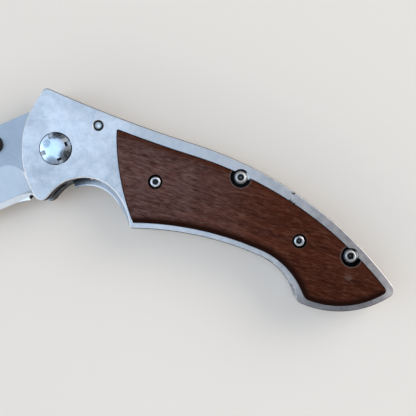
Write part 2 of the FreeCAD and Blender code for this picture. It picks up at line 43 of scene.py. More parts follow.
# Heights of the middle planes of the knife and the blade, and sizes, in millimetres
MIDDLE_Z = 6.43
FACE_OFF_MID = 5.43
INLAY_PROUD = 1.0
MID_BLADE_Z = 7.03
HALF_BLADE = 1.4
BOLSTER_ARC_R = 69.577
NOTCH_OUT = 4.6

# Angles in degrees
NOTCH_ANGLE = 21.0
GRAIN_ANGLE = -17.0
BLADE_ANGLE = 23.2
BAR_BRUSH_ANGLE = 62.0

# How level faces are, from 0 upright to 1 level, at both ends of a fade on walls, rolled edges
# and the outer line of these
WALL = (0.4, 0.7)
ROLL = (0.85, 0.995)
OUTLINE = (0.965, 0.9985)
NOTCH_WALL = (0.4, 0.6)

# Middle range of a noise, and a fade that falls
NOISE_RANGE = (0.3, 0.7)
FALLING = (1.0, 0.0)

# Painted shade on steel: its colour, added roughness, patches and reach from the front of the finger groove
PAINTED_SHADE = (0.016, 0.014, 0.013)
PAINTED_SHADE_ROUGH = 0.45
GROOVE_SHADE_PATCHES = (450.0, 4.0, 0.65)
GROOVE_SHADE_SHARE = (0.84, 1.0)
GROOVE_SHADE_FACING = (-0.35, 0.05)
GROOVE_FRONT = ([(-7.0, 1.5)], 4.0, 5.0)
STEEL_SPECULAR = 0.1

# Scratches: detail and roughness of their noise, its growth from angle to angle, a soft border
SCRATCH_NOISE = (2.0, 0.5)
SCRATCH_STEP = 0.13
SCRATCH_SOFT = 0.05

# Camera: place in millimetres, lens and sensor in millimetres, shift, clipping in metres
CAMERA_AT = (43.52, -2.33, 191.86)
CAMERA_LENS = 53.74
CAMERA_SENSOR = 36.0
CAMERA_SHIFT = -0.0533
CAMERA_CLIP = (0.01, 50.0)

# Light: a dim dome, a bluish window in it, its dimming to the horizon, the glow of its left
# and right sides and dark flags in it
DOME = (0.43, 0.41, 0.40)
WINDOW = (0.70, 0.93, 1.21)
WINDOW_AT = (-0.42, 0.05, 0.90)
WINDOW_EDGE = (0.80, 0.985)
HORIZON = (0.05, 0.75, 0.30, 1.4)
SIDES = (0.45, 0.85, 0.0, 1.3)
FLAGS = [
    ((-0.31, 0.62, 0.72), 0.968, 0.986, 0.12),
    ((-0.06, 0.62, 0.78), 0.968, 0.986, 0.12),
    ((0.13, -0.21, 0.97), 0.955, 0.985, 0.2),
    ((0.32, -0.12, 0.94), 0.92, 0.985, 0.45),
    ((-0.40, -0.42, 0.81), 0.962, 0.985, 0.35),
    ((-0.58, 0.26, 0.78), 0.98, 0.993, 0.4),
]

# Lamps: name, place, aim, size, power in watts and colour
WHITE = (1.0, 1.0, 1.0)
LAMPS = [
    ("key", (0.75, 0.5, 0.6), (0.03, 0.0, 0.0), (0.6, 0.6), 3.2, (1.0, 0.95, 0.88)),
    ("low_left", (-1.5, -0.7, 0.5), (0.0, 0.0, 0.0), (2.6, 0.9), 8.75, WHITE),
    ("low_front", (-0.03, -1.62, 0.7), (0.02, 0.0, 0.0), (2.4, 0.6), 5.0, (0.95, 0.98, 1.0)),
    ("low_right", (1.48, 1.05, 0.65), (0.05, 0.0, 0.0), (2.2, 0.8), 6.25, WHITE),
]

# Floor: half its width and its drop below the knife in metres, and its look
FLOOR_HALF = 4.0
FLOOR_DROP = 0.00003
FLOOR_NOISE = (3.0, 3.0, 0.5)
FLOOR_RAMP = [(0.3, (0.84, 0.80, 0.745)), (0.7, (0.87, 0.83, 0.775))]
FLOOR_ROUGH = 0.9
FLOOR_SPECULAR = 0.0


def moved(spots, x, y):
    return [(spot[0] + x, spot[1] + y) for spot in spots]


def notch_mouths():
    """Outer ends of the four notches in the pivot's head."""
    x, y = PIVOT
    angles = [math.radians(NOTCH_ANGLE + 90.0 * k) for k in range(4)]
    return [(x + NOTCH_OUT * math.cos(angle), y + NOTCH_OUT * math.sin(angle)) for angle in angles]


class Look:
    """A node material on one Principled shader; each call adds nodes and gives their output.

    A noise is a scale, detail and roughness, and streaks have a scale for each axis. An area is some
    upright lines, a radius and a soft border, and a ring has two radii, all in millimetres. A fade is
    a range, with the values at its ends where these aren't 0 and 1. A relief is a height in metres
    and a strength.
    """

    def __init__(self, name):
        self.material = bpy.data.materials.new(name)
        self.material.use_nodes = True
        self.tree = self.material.node_tree
        self.shader = self.tree.nodes["Principled BSDF"]
        coords = self.tree.nodes.new("ShaderNodeTexCoord")
        self.place = coords.outputs["Object"]
        self.facing = coords.outputs["Normal"]

    def put(self, socket, value):
        if isinstance(value, bpy.types.NodeSocket):
            self.tree.links.new(value, socket)
        else:
            socket.default_value = value

    def node(self, kind, inputs, output=0, **settings):
        made = self.tree.nodes.new(kind)
        for key, value in settings.items():
            setattr(made, key, value)
        for key, value in inputs.items():
            self.put(made.inputs[key], value)
        return made.outputs[output]

    def set(self, **inputs):
        for key, value in inputs.items():
            self.put(self.shader.inputs[key.replace("_", " ")], value)

    def math(self, operation, a, b=0.0, clamp=False):
        return self.node("ShaderNodeMath", {0: a, 1: b}, operation=operation, use_clamp=clamp)

    def times(self, *values):
        product = values[0]
        for value in values[1:]:
            product = self.math("MULTIPLY", product, value)
        return product

    def most(self, *values):
        largest = values[0]
        for value in values[1:]:
            largest = self.math("MAXIMUM", largest, value)
        return largest

    def outside(self, mask):
        return self.math("SUBTRACT", 1.0, mask)

    def vector_math(self, operation, a, b, output="Vector"):
        return self.node("ShaderNodeVectorMath", {0: a, 1: b}, output, operation=operation)

    def turned(self, vector, degrees):
        return self.node("ShaderNodeVectorRotate", {"Vector": vector, "Angle": math.radians(degrees)},
                         rotation_type="Z_AXIS")

    def stretched(self, vector, scale):
        return self.vector_math("MULTIPLY", vector, scale)

    def shifted(self, vector, by, strength):
        """A vector pushed about by a colour, to bend a pattern."""
        push = self.vector_math("SUBTRACT", by, (0.5, 0.5, 0.5))
        push = self.vector_math("MULTIPLY", push, (strength,) * 3)
        return self.vector_math("ADD", vector, push)

    def noise(self, vector, scale, detail, rough, output="Fac"):
        return self.node("ShaderNodeTexNoise", {"Vector": vector, "Scale": scale, "Detail": detail,
                                                "Roughness": rough}, output)

    def streaks(self, vector, stretch, detail, rough):
        """A noise drawn out by its own scale along each axis."""
        return self.noise(self.stretched(vector, stretch), 1.0, detail, rough)

    def between(self, value, low, high, to_low=0.0, to_high=1.0):
        """A value's range made another, smooth at both ends."""
        return self.node("ShaderNodeMapRange", {"Value": value, "From Min": low, "From Max": high,
                                                "To Min": to_low, "To Max": to_high},
                         interpolation_type="SMOOTHSTEP")

    def mix(self, share, a, b, blend="MIX"):
        made = self.tree.nodes.new("ShaderNodeMix")
        made.data_type = "RGBA"
        made.blend_type = blend
        self.put(made.inputs[0], share)
        self.put(made.inputs[6], a if isinstance(a, bpy.types.NodeSocket) else (*a, 1.0))
        self.put(made.inputs[7], b if isinstance(b, bpy.types.NodeSocket) else (*b, 1.0))
        return made.outputs[2]

    def coat(self, colour, over, *masks, share=1.0):
        """A colour covered by another where all of some masks are 1, there by a share."""
        if share < 1.0:
            masks += (share,)
        return self.mix(self.times(*masks), colour, over)

    def ramp(self, value, stops):
        made = self.tree.nodes.new("ShaderNodeValToRGB")
        points = made.color_ramp.elements
        for k, (at, colour) in enumerate(stops):
            point = points[k] if k < 2 else points.new(at)
            point.position = at
            point.color = (*colour, 1.0)
        self.put(made.inputs[0], value)
        return made.outputs[0]

    def axis(self, vector, name):
        return self.node("ShaderNodeSeparateXYZ", {0: vector}, name)

    def along_x(self, *fade):
        """A fade along the handle, in metres."""
        return self.between(self.axis(self.place, "X"), *fade)

    def faces(self, name, *fade):
        """A fade by how far a face looks along an axis."""
        return self.between(self.axis(self.facing, name), *fade)

    def sides(self, low, high):
        """1 on upright faces, 0 on level ones."""
        return self.between(self.math("ABSOLUTE", self.axis(self.facing, "Z")), low, high, *FALLING)

    def off_level(self, height):
        """How far a point lies above or below a height in millimetres, in metres."""
        return self.math("ABSOLUTE", self.math("SUBTRACT", self.axis(self.place, "Z"), height * MM))

    def depth(self):
        """How far a point lies below the nearer of the two frame faces, in millimetres."""
        return self.math("SUBTRACT", FACE_OFF_MID, self.math("DIVIDE", self.off_level(MIDDLE_Z), MM))

    def near(self, spots, radius, soft, place=None):
        """1 within a radius of any of some upright lines, fading over a soft border."""
        flat = self.stretched(place or self.place, (1.0, 1.0, 0.0))
        found = []
        for x, y in spots:
            away = self.vector_math("DISTANCE", flat, (x * MM, y * MM, 0.0), "Value")
            found.append(self.between(away, radius * MM, (radius + soft) * MM, *FALLING))
        return self.most(*found)

    def ring(self, spots, inner, outer, soft):
        return self.math("SUBTRACT", self.near(spots, outer, soft), self.near(spots, inner, soft))

    def scratches(self, angles, density, length=40.0, width=2600.0):
        """Sparse fine lines at several angles, 1 on a line."""
        found = []
        for k, angle in enumerate(angles):
            along = self.stretched(self.turned(self.place, angle), (length, width, length))
            lines = self.noise(along, 1.0 + SCRATCH_STEP * k, *SCRATCH_NOISE)
            found.append(self.between(lines, density, density + SCRATCH_SOFT))
        return self.most(*found)

    def steel(self, colour, rough, shade_mask):
        """Bare metal, made dark, rougher and not metallic where a mask of painted shade is 1."""
        rough = self.math("ADD", rough, self.times(shade_mask, PAINTED_SHADE_ROUGH), clamp=True)
        self.set(Base_Color=self.mix(shade_mask, colour, PAINTED_SHADE), Roughness=rough, Metallic=self.outside(shade_mask),
                 Specular_IOR_Level=STEEL_SPECULAR)

    def groove_shade(self):
        """Painted shade on the walls at the front of the finger groove, in patches, on their sides facing it.
        """
        inward = self.faces("X", *GROOVE_SHADE_FACING)
        patchy = self.between(self.noise(self.place, *GROOVE_SHADE_PATCHES), *NOISE_RANGE, *GROOVE_SHADE_SHARE)
        return self.times(self.near(*GROOVE_FRONT), self.sides(*WALL), inward, patchy)

    def bump(self, height, distance, strength):
        normal = self.node("ShaderNodeBump", {"Height": height, "Strength": strength,
                                              "Distance": distance}, "Normal")
        self.put(self.shader.inputs["Normal"], normal)


# Frame steel: noises, colours, areas and rings; places along and across the handle in metres,
# depths below the face in millimetres
FRAME_SMUDGE = (75.0, 4.0, 0.6)
FRAME_CLOUD = (420.0, 5.0, 0.7)
FRAME_GRIT = (3800.0, 2.0, 0.5)
FRAME_SCRATCHES = ([12.0, 71.0, 128.0, 164.0], 0.7)
SMUDGE_WEIGHT = 0.45
CLOUD_WEIGHT = 0.55
GRIT_HEIGHT = 0.5
SCRATCH_HEIGHT = -0.6
SCRATCH_SMOOTHER = 0.1
FRAME_RAMP = [(0.375, (0.45, 0.465, 0.485)), (0.625, (0.79, 0.805, 0.835))]
FRAME_ROUGH = (0.34, 0.46)
FRAME_RELIEF = (0.000012, 0.5)
RIM_FROM = (0.008, 0.022)
UPPER_RIM_FROM = (0.005, 0.015)
LOWER_RIM = (0.71, 0.72, 0.745)
UPPER_RIM = (0.585, 0.595, 0.62)
FRAME_SCRATCH = (0.82, 0.84, 0.87)
STAIN_RING = ([(-1.6, 7.9)], 2.2, 2.35, 0.5)
STAIN_END = ([(0.1, 9.4)], 1.2, 0.6)
STAIN = (0.30, 0.32, 0.36)
RAGGED_NOISE = (1500.0, 2.0, 0.5)
RAGGED_BY = 0.0012
RIM_DINGS = ([(61.7, 2.0), (62.1, 1.9)], 0.15, 0.3)
RIM_SCRAPE = ([(60.9, -0.1), (61.5, -0.65), (62.1, -1.15)], 0.1, 0.3)
DING = (0.06, 0.055, 0.05)
TOP_EDGE = (0.35, 0.6)
TO_SPINE = (0.3, 0.7)
NOT_TO_BUTT = (0.5, 0.65)
TO_LOWER_SIDE = (-0.45, -0.1)
TO_BLADE = (-0.75, -0.45)
TO_BUTT = (0.45, 0.62)
UNDERSIDE_SHADE = 0.85
GROOVE_EDGE = ([GROOVE], 13.5, 1.0)
GROOVE_FILLET_HIGHLIGHT = (0.95, 0.96, 0.98)
BOLSTER = ([PIVOT], 16.5, 1.0)
BOLSTER_FILLET_HIGHLIGHT = (0.98, 0.985, 1.0)
FRAME_WELLS = (BODY_SCREWS, 3.1, 0.1)
WELL_DEPTH = (0.2, 0.3)
WELL_GLINTS = (moved(BODY_SCREWS, 2.35, 0.5), 0.7, 0.7)
WELL_SHADE = (0.008, 0.008, 0.009)
WELL_GLINT = (0.95, 0.94, 0.93)
TAIL_FROM = (0.056, 0.082)
TAIL_SHADE_TINT = (0.83, 0.78, 0.765)
BUTT_EDGE_HIGHLIGHT = (0.97, 0.965, 0.96)
BUTT_DARKER_AREA = ([(74.0, -36.0)], 9.0, 9.0)
BUTT_DARKER = (0.25, 0.25, 0.265)
BUTT_TIP = ([(90.4, -26.1)], 1.0, 3.0)
BUTT_TIP_BRIGHT = (0.95, 0.94, 0.93)
NOTCH_MOUTHS = (notch_mouths(), 0.55, 0.25)
PIVOT_GAP = ([PIVOT], 4.45, 4.78, 0.06)
GAP_LEFT = PIVOT[0] - 4.0
GAP_RIGHT = PIVOT[0] + 1.0
GAP_SHARE = (0.5, 1.0)
PIVOT_GAP_SHADE = (0.03, 0.036, 0.05)


def tumbled_steel():
    """Mottled on the bolster, evener on the rims, with worn spots, painted shade and painted highlights on
    its edges, painted shade in the screw wells, the pivot's gap and the finger groove, and painted shade as a
    darker tint towards the butt.
    """
    look = Look("tumbled_steel")
    cloud = look.noise(look.place, *FRAME_CLOUD)
    marks = look.scratches(*FRAME_SCRATCHES)
    smudge = look.noise(look.place, *FRAME_SMUDGE)
    mottle = look.math("ADD", look.times(smudge, SMUDGE_WEIGHT), look.times(cloud, CLOUD_WEIGHT))
    upper = look.between(look.axis(look.turned(look.place, -GRAIN_ANGLE), "Y"), *UPPER_RIM_FROM)
    even = look.mix(upper, LOWER_RIM, UPPER_RIM)
    colour = look.coat(look.ramp(mottle, FRAME_RAMP), even, look.along_x(*RIM_FROM), share=0.6)
    colour = look.coat(colour, FRAME_SCRATCH, marks, share=0.3)
    colour = look.coat(colour, STAIN, look.ring(*STAIN_RING), look.near(*STAIN_END), share=0.45)

    ragged = look.shifted(look.place, look.noise(look.place, *RAGGED_NOISE, "Color"), RAGGED_BY)
    dings = look.most(look.near(*RIM_DINGS, ragged), look.near(*RIM_SCRAPE, ragged))
    colour = look.coat(colour, DING, dings)

    top = look.between(look.depth(), *TOP_EDGE, *FALLING)
    rolled = look.times(look.sides(*ROLL), top)
    outline = look.times(look.sides(*OUTLINE), top)
    lower = look.faces("Y", *TO_LOWER_SIDE, *FALLING)
    groove = look.near(*GROOVE_EDGE)
    bolster = look.near(*BOLSTER)
    # Painted highlights on the rolled edges along the finger groove and at the front of the bolster.
    colour = look.coat(colour, GROOVE_FILLET_HIGHLIGHT, rolled, lower, groove)
    to_blade = look.faces("X", *TO_BLADE, *FALLING)
    colour = look.coat(colour, BOLSTER_FILLET_HIGHLIGHT, rolled, to_blade, bolster)
    # Painted shade on the outline of the spine and of the lower edges away from the groove and the bolster.
    under = look.times(lower, look.outside(look.most(groove, bolster)), UNDERSIDE_SHADE)
    spine = look.times(look.faces("Y", *TO_SPINE), look.faces("X", *NOT_TO_BUTT, *FALLING))
    painted_dark_edges = look.times(outline, look.most(spine, under))

    # Painted shade in the screw wells, with a painted glint on their steel at the right.
    wells = look.mix(look.near(*WELL_GLINTS), WELL_SHADE, WELL_GLINT)
    colour = look.coat(colour, wells, look.near(*FRAME_WELLS), look.between(look.depth(), *WELL_DEPTH))
    # Painted shade: a darker, warmer tint towards the butt for its dimmer reflection there.
    colour = look.mix(look.along_x(*TAIL_FROM), colour, TAIL_SHADE_TINT, "MULTIPLY")
    # A painted highlight on the outline facing the butt.
    colour = look.coat(colour, BUTT_EDGE_HIGHLIGHT, outline, look.faces("X", *TO_BUTT))
    # Darker towards the lower butt.
    colour = look.coat(colour, BUTT_DARKER, look.near(*BUTT_DARKER_AREA), share=0.7)
    colour = look.coat(colour, BUTT_TIP_BRIGHT, look.near(*BUTT_TIP), share=0.5)
    # Painted shade in the gap round the pivot's head, on its right, broken at the notches.
    rightward = look.along_x(GAP_LEFT * MM, GAP_RIGHT * MM, *GAP_SHARE)
    closed = look.outside(look.near(*NOTCH_MOUTHS))
    colour = look.coat(colour, PIVOT_GAP_SHADE, look.ring(*PIVOT_GAP), closed, rightward)

    rough = look.between(cloud, *NOISE_RANGE, *FRAME_ROUGH)
    rough = look.math("SUBTRACT", rough, look.times(marks, SCRATCH_SMOOTHER))
    look.steel(colour, rough, look.most(look.groove_shade(), painted_dark_edges))
    grit = look.noise(look.place, *FRAME_GRIT)
    height = look.math("ADD", look.times(grit, GRIT_HEIGHT), look.times(marks, SCRATCH_HEIGHT))
    look.bump(height, *FRAME_RELIEF)
    return look.material


# Blade steel: brush marks along the flat and across the grind, offsets in millimetres, colours
BRUSH_ALONG = ((60.0, 5200.0, 60.0), 3.0, 0.6)
BRUSH_ACROSS = ((4200.0, 70.0, 70.0), 3.0, 0.6)
BLADE_SMUDGE = (90.0, 4.0, 0.6)
BLADE_SCRATCHES = ([31.0, 95.0, 150.0], 0.7)
GRIND_FROM = HALF_BLADE - 0.1
FLAT_FROM = HALF_BLADE - 0.005
EDGE_TO = (0.42, 0.46)
FLAT_RAMP = [(0.3, (0.33, 0.345, 0.375)), (0.7, (0.41, 0.425, 0.455))]
GRIND_RAMP = [(0.3, (0.52, 0.53, 0.55)), (0.7, (0.61, 0.62, 0.64))]
BRUSH_RANGE = (0.35, 0.65)
BRUSH_BRIGHT = (0.85, 0.89, 0.94)
BLADE_SCRATCH = (0.8, 0.84, 0.9)
BLADE_EDGE_HIGHLIGHT = (0.97, 0.975, 0.98)
BLADE_HEEL_SHADE = ([(-15.5, 0.95)], 0.5, 0.35)
BLADE_ROUGH = (0.27, 0.4)
EDGE_ROUGHER = 0.1
BLADE_RELIEF = (0.000008, 0.6)


def blade_steel():
    """Brushed lengthwise on the flat and crosswise on the grind, with a painted highlight along the cutting
    edge and painted shade at the heel.
    """
    look = Look("blade_steel")
    lengthwise = look.turned(look.place, -BLADE_ANGLE)
    off_mid = look.off_level(MID_BLADE_Z)
    ground = look.between(off_mid, GRIND_FROM * MM, FLAT_FROM * MM, *FALLING)
    edge = look.between(off_mid, EDGE_TO[0] * MM, EDGE_TO[1] * MM, *FALLING)
    along = look.streaks(lengthwise, *BRUSH_ALONG)
    across = look.streaks(lengthwise, *BRUSH_ACROSS)
    brush = look.node("ShaderNodeMix", {0: ground, 2: along, 3: across}, data_type="FLOAT")
    smudge = look.noise(look.place, *BLADE_SMUDGE)
    colour = look.mix(ground, look.ramp(smudge, FLAT_RAMP), look.ramp(smudge, GRIND_RAMP))
    colour = look.coat(colour, BRUSH_BRIGHT, look.between(brush, *BRUSH_RANGE), share=0.1)
    colour = look.coat(colour, BLADE_SCRATCH, look.scratches(*BLADE_SCRATCHES), share=0.25)
    # A painted highlight along the cutting edge.
    colour = look.coat(colour, BLADE_EDGE_HIGHLIGHT, edge)
    rough = look.math("ADD", look.between(brush, *NOISE_RANGE, *BLADE_ROUGH), look.times(edge, EDGE_ROUGHER))
    # Painted shade at the blade's heel and at the front of the finger groove.
    look.steel(colour, rough, look.most(look.groove_shade(), look.near(*BLADE_HEEL_SHADE)))
    look.bump(brush, *BLADE_RELIEF)
    return look.material


# Spring steel of the liner, its lock bar and the backspacer
BAR_BRUSH = ((80.0, 4800.0, 80.0), 3.0, 0.6)
BAR_SMUDGE = (160.0, 4.0, 0.6)
BAR_RAMP = [(0.3, (0.44, 0.45, 0.47)), (0.7, (0.57, 0.58, 0.60))]
BAR_INSIDE = ([GROOVE], 10.7, 1.0)
BAR_SHADED = ([BAR_TIP], 3.5, 7.0)
BAR_SHADE = (0.06, 0.065, 0.075)
BAR_END = ([BAR_TIP], 0.8, 8.5)
BAR_END_SHADE = (0.035, 0.037, 0.042)
BAR_EDGE = ([GROOVE], 10.3, 0.2)
BAR_EDGE_FADE = ([BAR_TIP], 0.5, 7.0)
BAR_EDGE_LOSS = 0.75
BAR_EDGE_HIGHLIGHT = (0.92, 0.94, 0.96)
BAR_ROUGH = (0.26, 0.42)
BAR_RELIEF = (0.000008, 0.5)


def spring_steel():
    """Brushed, with painted shade under the frame's edge and at the lock bar's end, and a painted highlight
    along the bar's edge in the groove.
    """
    look = Look("spring_steel")
    brush = look.streaks(look.turned(look.place, BAR_BRUSH_ANGLE), *BAR_BRUSH)
    level = look.outside(look.sides(*WALL))
    colour = look.ramp(look.noise(look.place, *BAR_SMUDGE), BAR_RAMP)
    # Painted shade under the frame's edge and at the bar's end, and a painted highlight on the bar's edge.
    shade = look.times(look.outside(look.near(*BAR_INSIDE)), look.near(*BAR_SHADED))
    colour = look.coat(colour, BAR_SHADE, shade, level, share=0.9)
    colour = look.coat(colour, BAR_END_SHADE, look.near(*BAR_END), share=0.9)
    lit = look.outside(look.times(look.near(*BAR_EDGE_FADE), BAR_EDGE_LOSS))
    colour = look.coat(colour, BAR_EDGE_HIGHLIGHT, look.near(*BAR_EDGE), level, lit)
    look.steel(colour, look.between(brush, *NOISE_RANGE, *BAR_ROUGH), look.groove_shade())
    look.bump(brush, *BAR_RELIEF)
    return look.material


# Screw steel: the screws and the stop pin
SCREW_CLOUD = (900.0, 3.0, 0.6)
SCREW_SCRATCHES = ([20.0, 80.0, 140.0], 0.66, 300.0, 5200.0)
SCREW_RAMP = [(0.3, (0.62, 0.64, 0.67)), (0.7, (0.78, 0.80, 0.82))]
BODY_HEADS = (BODY_SCREWS, 2.1, 0.1)
BODY_HEAD = (0.62, 0.60, 0.59)
HEAD_GLINTS = (moved(BODY_SCREWS, 1.6, -0.3), 0.5, 0.6)
HEAD_GLINT = (0.97, 0.97, 0.97)
PIN_END = ([STOP_PIN], 1.7, 0.1)
PIN = (0.42, 0.43, 0.44)
PIN_MIDDLE = (moved([STOP_PIN], 0.1, -0.15), 0.2, 0.4)
PIN_HIGHLIGHT = (0.76, 0.76, 0.75)
BODY_SOCKETS = (BODY_SCREWS, 0.95, 0.06)
INLAY_SOCKETS = (INLAY_SCREWS, 0.84, 0.06)
PIN_RING = ([STOP_PIN], 0.75, 1.8, 0.3)
PIN_RING_SHARE = 0.97
SOCKET_SHADE = (0.02, 0.021, 0.023)
SOCKET_FLOORS = (BODY_SCREWS + INLAY_SCREWS[1:], 0.15, 0.35)
SOCKET_FLOOR_LIGHT = (0.16, 0.155, 0.15)
SCREW_ROUGH = (0.24, 0.38)
HEAD_RIMS = (BODY_SCREWS, 1.3, 2.1, 0.2)
HEAD_RIM_SHARE = 0.6
SCREW_RELIEF = (0.00001, 0.35)


def screw_steel():
    """Bright heads with painted glints and sockets in painted shade with painted light on their floors, and a
    pin's end with a painted highlight in a ring of painted shade.
    """
    look = Look("screw_steel")
    cloud = look.noise(look.place, *SCREW_CLOUD)
    colour = look.ramp(cloud, SCREW_RAMP)
    colour = look.coat(colour, BODY_HEAD, look.near(*BODY_HEADS))
    # A painted glint on each body screw's head.
    colour = look.coat(colour, HEAD_GLINT, look.near(*HEAD_GLINTS))
    colour = look.coat(colour, PIN, look.near(*PIN_END))
    # A painted highlight on the pin's end.
    colour = look.coat(colour, PIN_HIGHLIGHT, look.near(*PIN_MIDDLE))
    # Painted shade in the sockets and round the pin's end, then painted light on the socket floors.
    pin_ring = look.times(look.ring(*PIN_RING), PIN_RING_SHARE)
    dark = look.most(look.near(*BODY_SOCKETS), look.near(*INLAY_SOCKETS), pin_ring)
    colour = look.coat(colour, SOCKET_SHADE, dark)
    colour = look.coat(colour, SOCKET_FLOOR_LIGHT, look.near(*SOCKET_FLOORS))
    metal = look.outside(look.times(look.ring(*HEAD_RIMS), HEAD_RIM_SHARE))
    look.set(Base_Color=colour, Roughness=look.between(cloud, *NOISE_RANGE, *SCREW_ROUGH), Metallic=metal)
    look.bump(look.scratches(*SCREW_SCRATCHES), *SCREW_RELIEF)
    return look.material


# Polished steel: the pivot's two heads and the detent ball
PIVOT_CLOUD = (420.0, 4.0, 0.6)
PIVOT_SCRATCHES = ([8.0, 55.0, 100.0, 149.0], 0.66, 120.0, 4200.0)
PIVOT_RAMP = [(0.3, (0.59, 0.68, 0.79)), (0.7, (0.70, 0.79, 0.90))]
NOTCH_DEPTH = (-0.09, 0.01)
NOTCH_LEFT = PIVOT[0] - 1.4
NOTCH_RIGHT = PIVOT[0] + 0.8
NOTCH_SHARE = (0.25, 1.0)
NOTCH_WALL_SHARE = 0.95
NOTCH_ENDS = ([PIVOT], 3.5, 0.35)
NOTCH_FLOOR = (0.44, 0.47, 0.50)
NOTCH_SHADE = (0.012, 0.013, 0.018)
NOTCH_WALL_SHADE = (0.015, 0.017, 0.022)
PIVOT_CLOUD_RANGE = (0.35, 0.7)
PIVOT_ROUGH = (0.1, 0.2)
PIVOT_SCRATCH_ROUGHER = 0.15
NOTCH_ROUGHER = 0.3
PIVOT_RELIEF = (0.000008, 0.3)


def polished_steel():
    """Shiny, with painted shade in the notches, darkest at their inner ends on the right."""
    look = Look("polished_steel")
    cloud = look.noise(look.place, *PIVOT_CLOUD)
    marks = look.scratches(*PIVOT_SCRATCHES)
    low = look.between(look.depth(), *NOTCH_DEPTH)
    rightward = look.along_x(NOTCH_LEFT * MM, NOTCH_RIGHT * MM, *NOTCH_SHARE)
    # Painted shade on the notch floors towards their inner ends and on their walls, on the right.
    floors = look.mix(look.times(look.near(*NOTCH_ENDS), rightward), NOTCH_FLOOR, NOTCH_SHADE)
    colour = look.coat(look.ramp(cloud, PIVOT_RAMP), floors, low)
    colour = look.coat(colour, NOTCH_WALL_SHADE, look.sides(*NOTCH_WALL), NOTCH_WALL_SHARE, rightward)
    rough = look.between(cloud, *PIVOT_CLOUD_RANGE, *PIVOT_ROUGH)
    rough = look.math("ADD", rough, look.times(marks, PIVOT_SCRATCH_ROUGHER))
    rough = look.math("ADD", rough, look.times(low, NOTCH_ROUGHER))
    look.set(Base_Color=colour, Roughness=rough, Metallic=1.0)
    look.bump(marks, *PIVOT_RELIEF)
    return look.material


# Bronze of the washers
BRONZE_CLOUD = (500.0, 4.0, 0.6)
BRONZE_RAMP = [(0.3, (0.42, 0.24, 0.09)), (0.7, (0.62, 0.40, 0.18))]
BRONZE_ROUGH = (0.3, 0.45)
BRONZE_RELIEF = (0.00001, 0.3)


def bronze():
    look = Look("bronze")
    cloud = look.noise(look.place, *BRONZE_CLOUD)
    rough = look.between(cloud, *NOISE_RANGE, *BRONZE_ROUGH)
    look.set(Base_Color=look.ramp(cloud, BRONZE_RAMP), Roughness=rough, Metallic=1.0)
    look.bump(cloud, *BRONZE_RELIEF)
    return look.material


# Black steel of the thumb studs
STUD_GRIT = (2600.0, 3.0, 0.6)
STUD_WEAR = (700.0, 4.0, 0.65)
STUD_WEAR_RANGE = (0.6, 0.75)
STUD_BLACK = (0.012, 0.012, 0.013)
STUD_WORN = (0.05, 0.05, 0.055)
STUD_ROUGH = (0.36, 0.52)
STUD_METAL = 0.25
STUD_RELIEF = (0.000015, 0.4)


def black_steel():
    look = Look("black_steel")
    grit = look.noise(look.place, *STUD_GRIT)
    worn = look.between(look.noise(look.place, *STUD_WEAR), *STUD_WEAR_RANGE)
    colour = look.coat(STUD_BLACK, STUD_WORN, worn, share=0.4)
    look.set(Base_Color=colour, Roughness=look.between(grit, *NOISE_RANGE, *STUD_ROUGH), Metallic=STUD_METAL)
    look.bump(grit, *STUD_RELIEF)
    return look.material


# Wood: noises drawn out along the grain, colours, and areas by the screws and the bolster; places
# along the handle in metres, depths below the inlay's face in millimetres
WOOD_BEND = (55.0, 2.0, 0.5)
WOOD_BEND_BY = 0.0018
WOOD_BANDS = ((14.0, 260.0, 120.0), 4.0, 0.6)
WOOD_FIBRES = ((90.0, 2200.0, 1400.0), 3.0, 0.6)
WOOD_PORES = ((330.0, 4200.0, 2600.0), 2.0, 0.5)
WOOD_FLECKS = ((300.0, 3400.0, 2000.0), 2.0, 0.5)
WOOD_GRAINS = ((300.0, 2700.0, 1600.0), 4.0, 0.7)
WOOD_BLOTCHES = ((380.0, 1200.0, 900.0), 3.0, 0.7)
WOOD_CLOUD = (110.0, 4.0, 0.65)
FLECK_ANGLE = 7.0
FADED_TO = (0.012, 0.062)
BUTT_RAMP = [(0.3, (0.028, 0.0045, 0.0012)), (0.7, (0.080, 0.018, 0.006)), (0.5, (0.052, 0.0105, 0.0035))]
BOLSTER_RAMP = [(0.3, (0.036, 0.011, 0.008)), (0.7, (0.112, 0.042, 0.034)), (0.5, (0.072, 0.0255, 0.020))]
FIBRE_SHARE = (0.38, 0.66, 0.0, 0.35)
FIBRE = (0.105, 0.034, 0.021)
INLAY_ROLL = (0.01, 0.5)
SHEEN_PATCHES = (0.25, 1.0)
SHEEN_SHARE = 0.5
PAINTED_SHEEN = (0.155, 0.110, 0.108)
PALE_BY_BUTT = (0.125, 0.05, 0.03)
PALE_BY_BOLSTER = (0.175, 0.115, 0.105)
DARK_GRAIN = (0.022, 0.006, 0.004)
PALE_GRAIN_SHARE = (0.5, 0.72, 0.0, 0.75)
DARK_GRAIN_SHARE = (0.3, 0.5, 0.75, 0.0)
PALE_BLOTCH_SHARE = (0.5, 0.75, 0.0, 0.7)
DARK_BLOTCH_SHARE = (0.25, 0.5, 0.7, 0.0)
PORE_RANGE = (0.58, 0.66)
PORE = (0.014, 0.005, 0.003)
FLECK_RANGE = (0.64, 0.70)
FLECK = (0.20, 0.14, 0.125)
FLECKS_BY_BOLSTER = 0.25
FLECKS_ALL_OVER = 0.06
SCUFF_NOISE = (700.0, 3.0, 0.6)
SCUFF_BY = 0.003
WOOD_SCUFF = ([(77.6, -22.2)], 0.2, 1.3)
SCUFF_SHARE = 0.28
ROLL_DIRT_AND_SHADE = (0.055, 0.013, 0.005)
LOWER_ROLL = (-0.05, 0.4)
TO_LOWER_RIM = (-0.12, -0.01)
LOWER_ROLL_SHADE = (0.011, 0.0022, 0.0009)
INSIDE_ARC = ([BOLSTER_ARC], BOLSTER_ARC_R - 0.6, 0.4)
BORDER_RANGE = (0.3, 0.9)
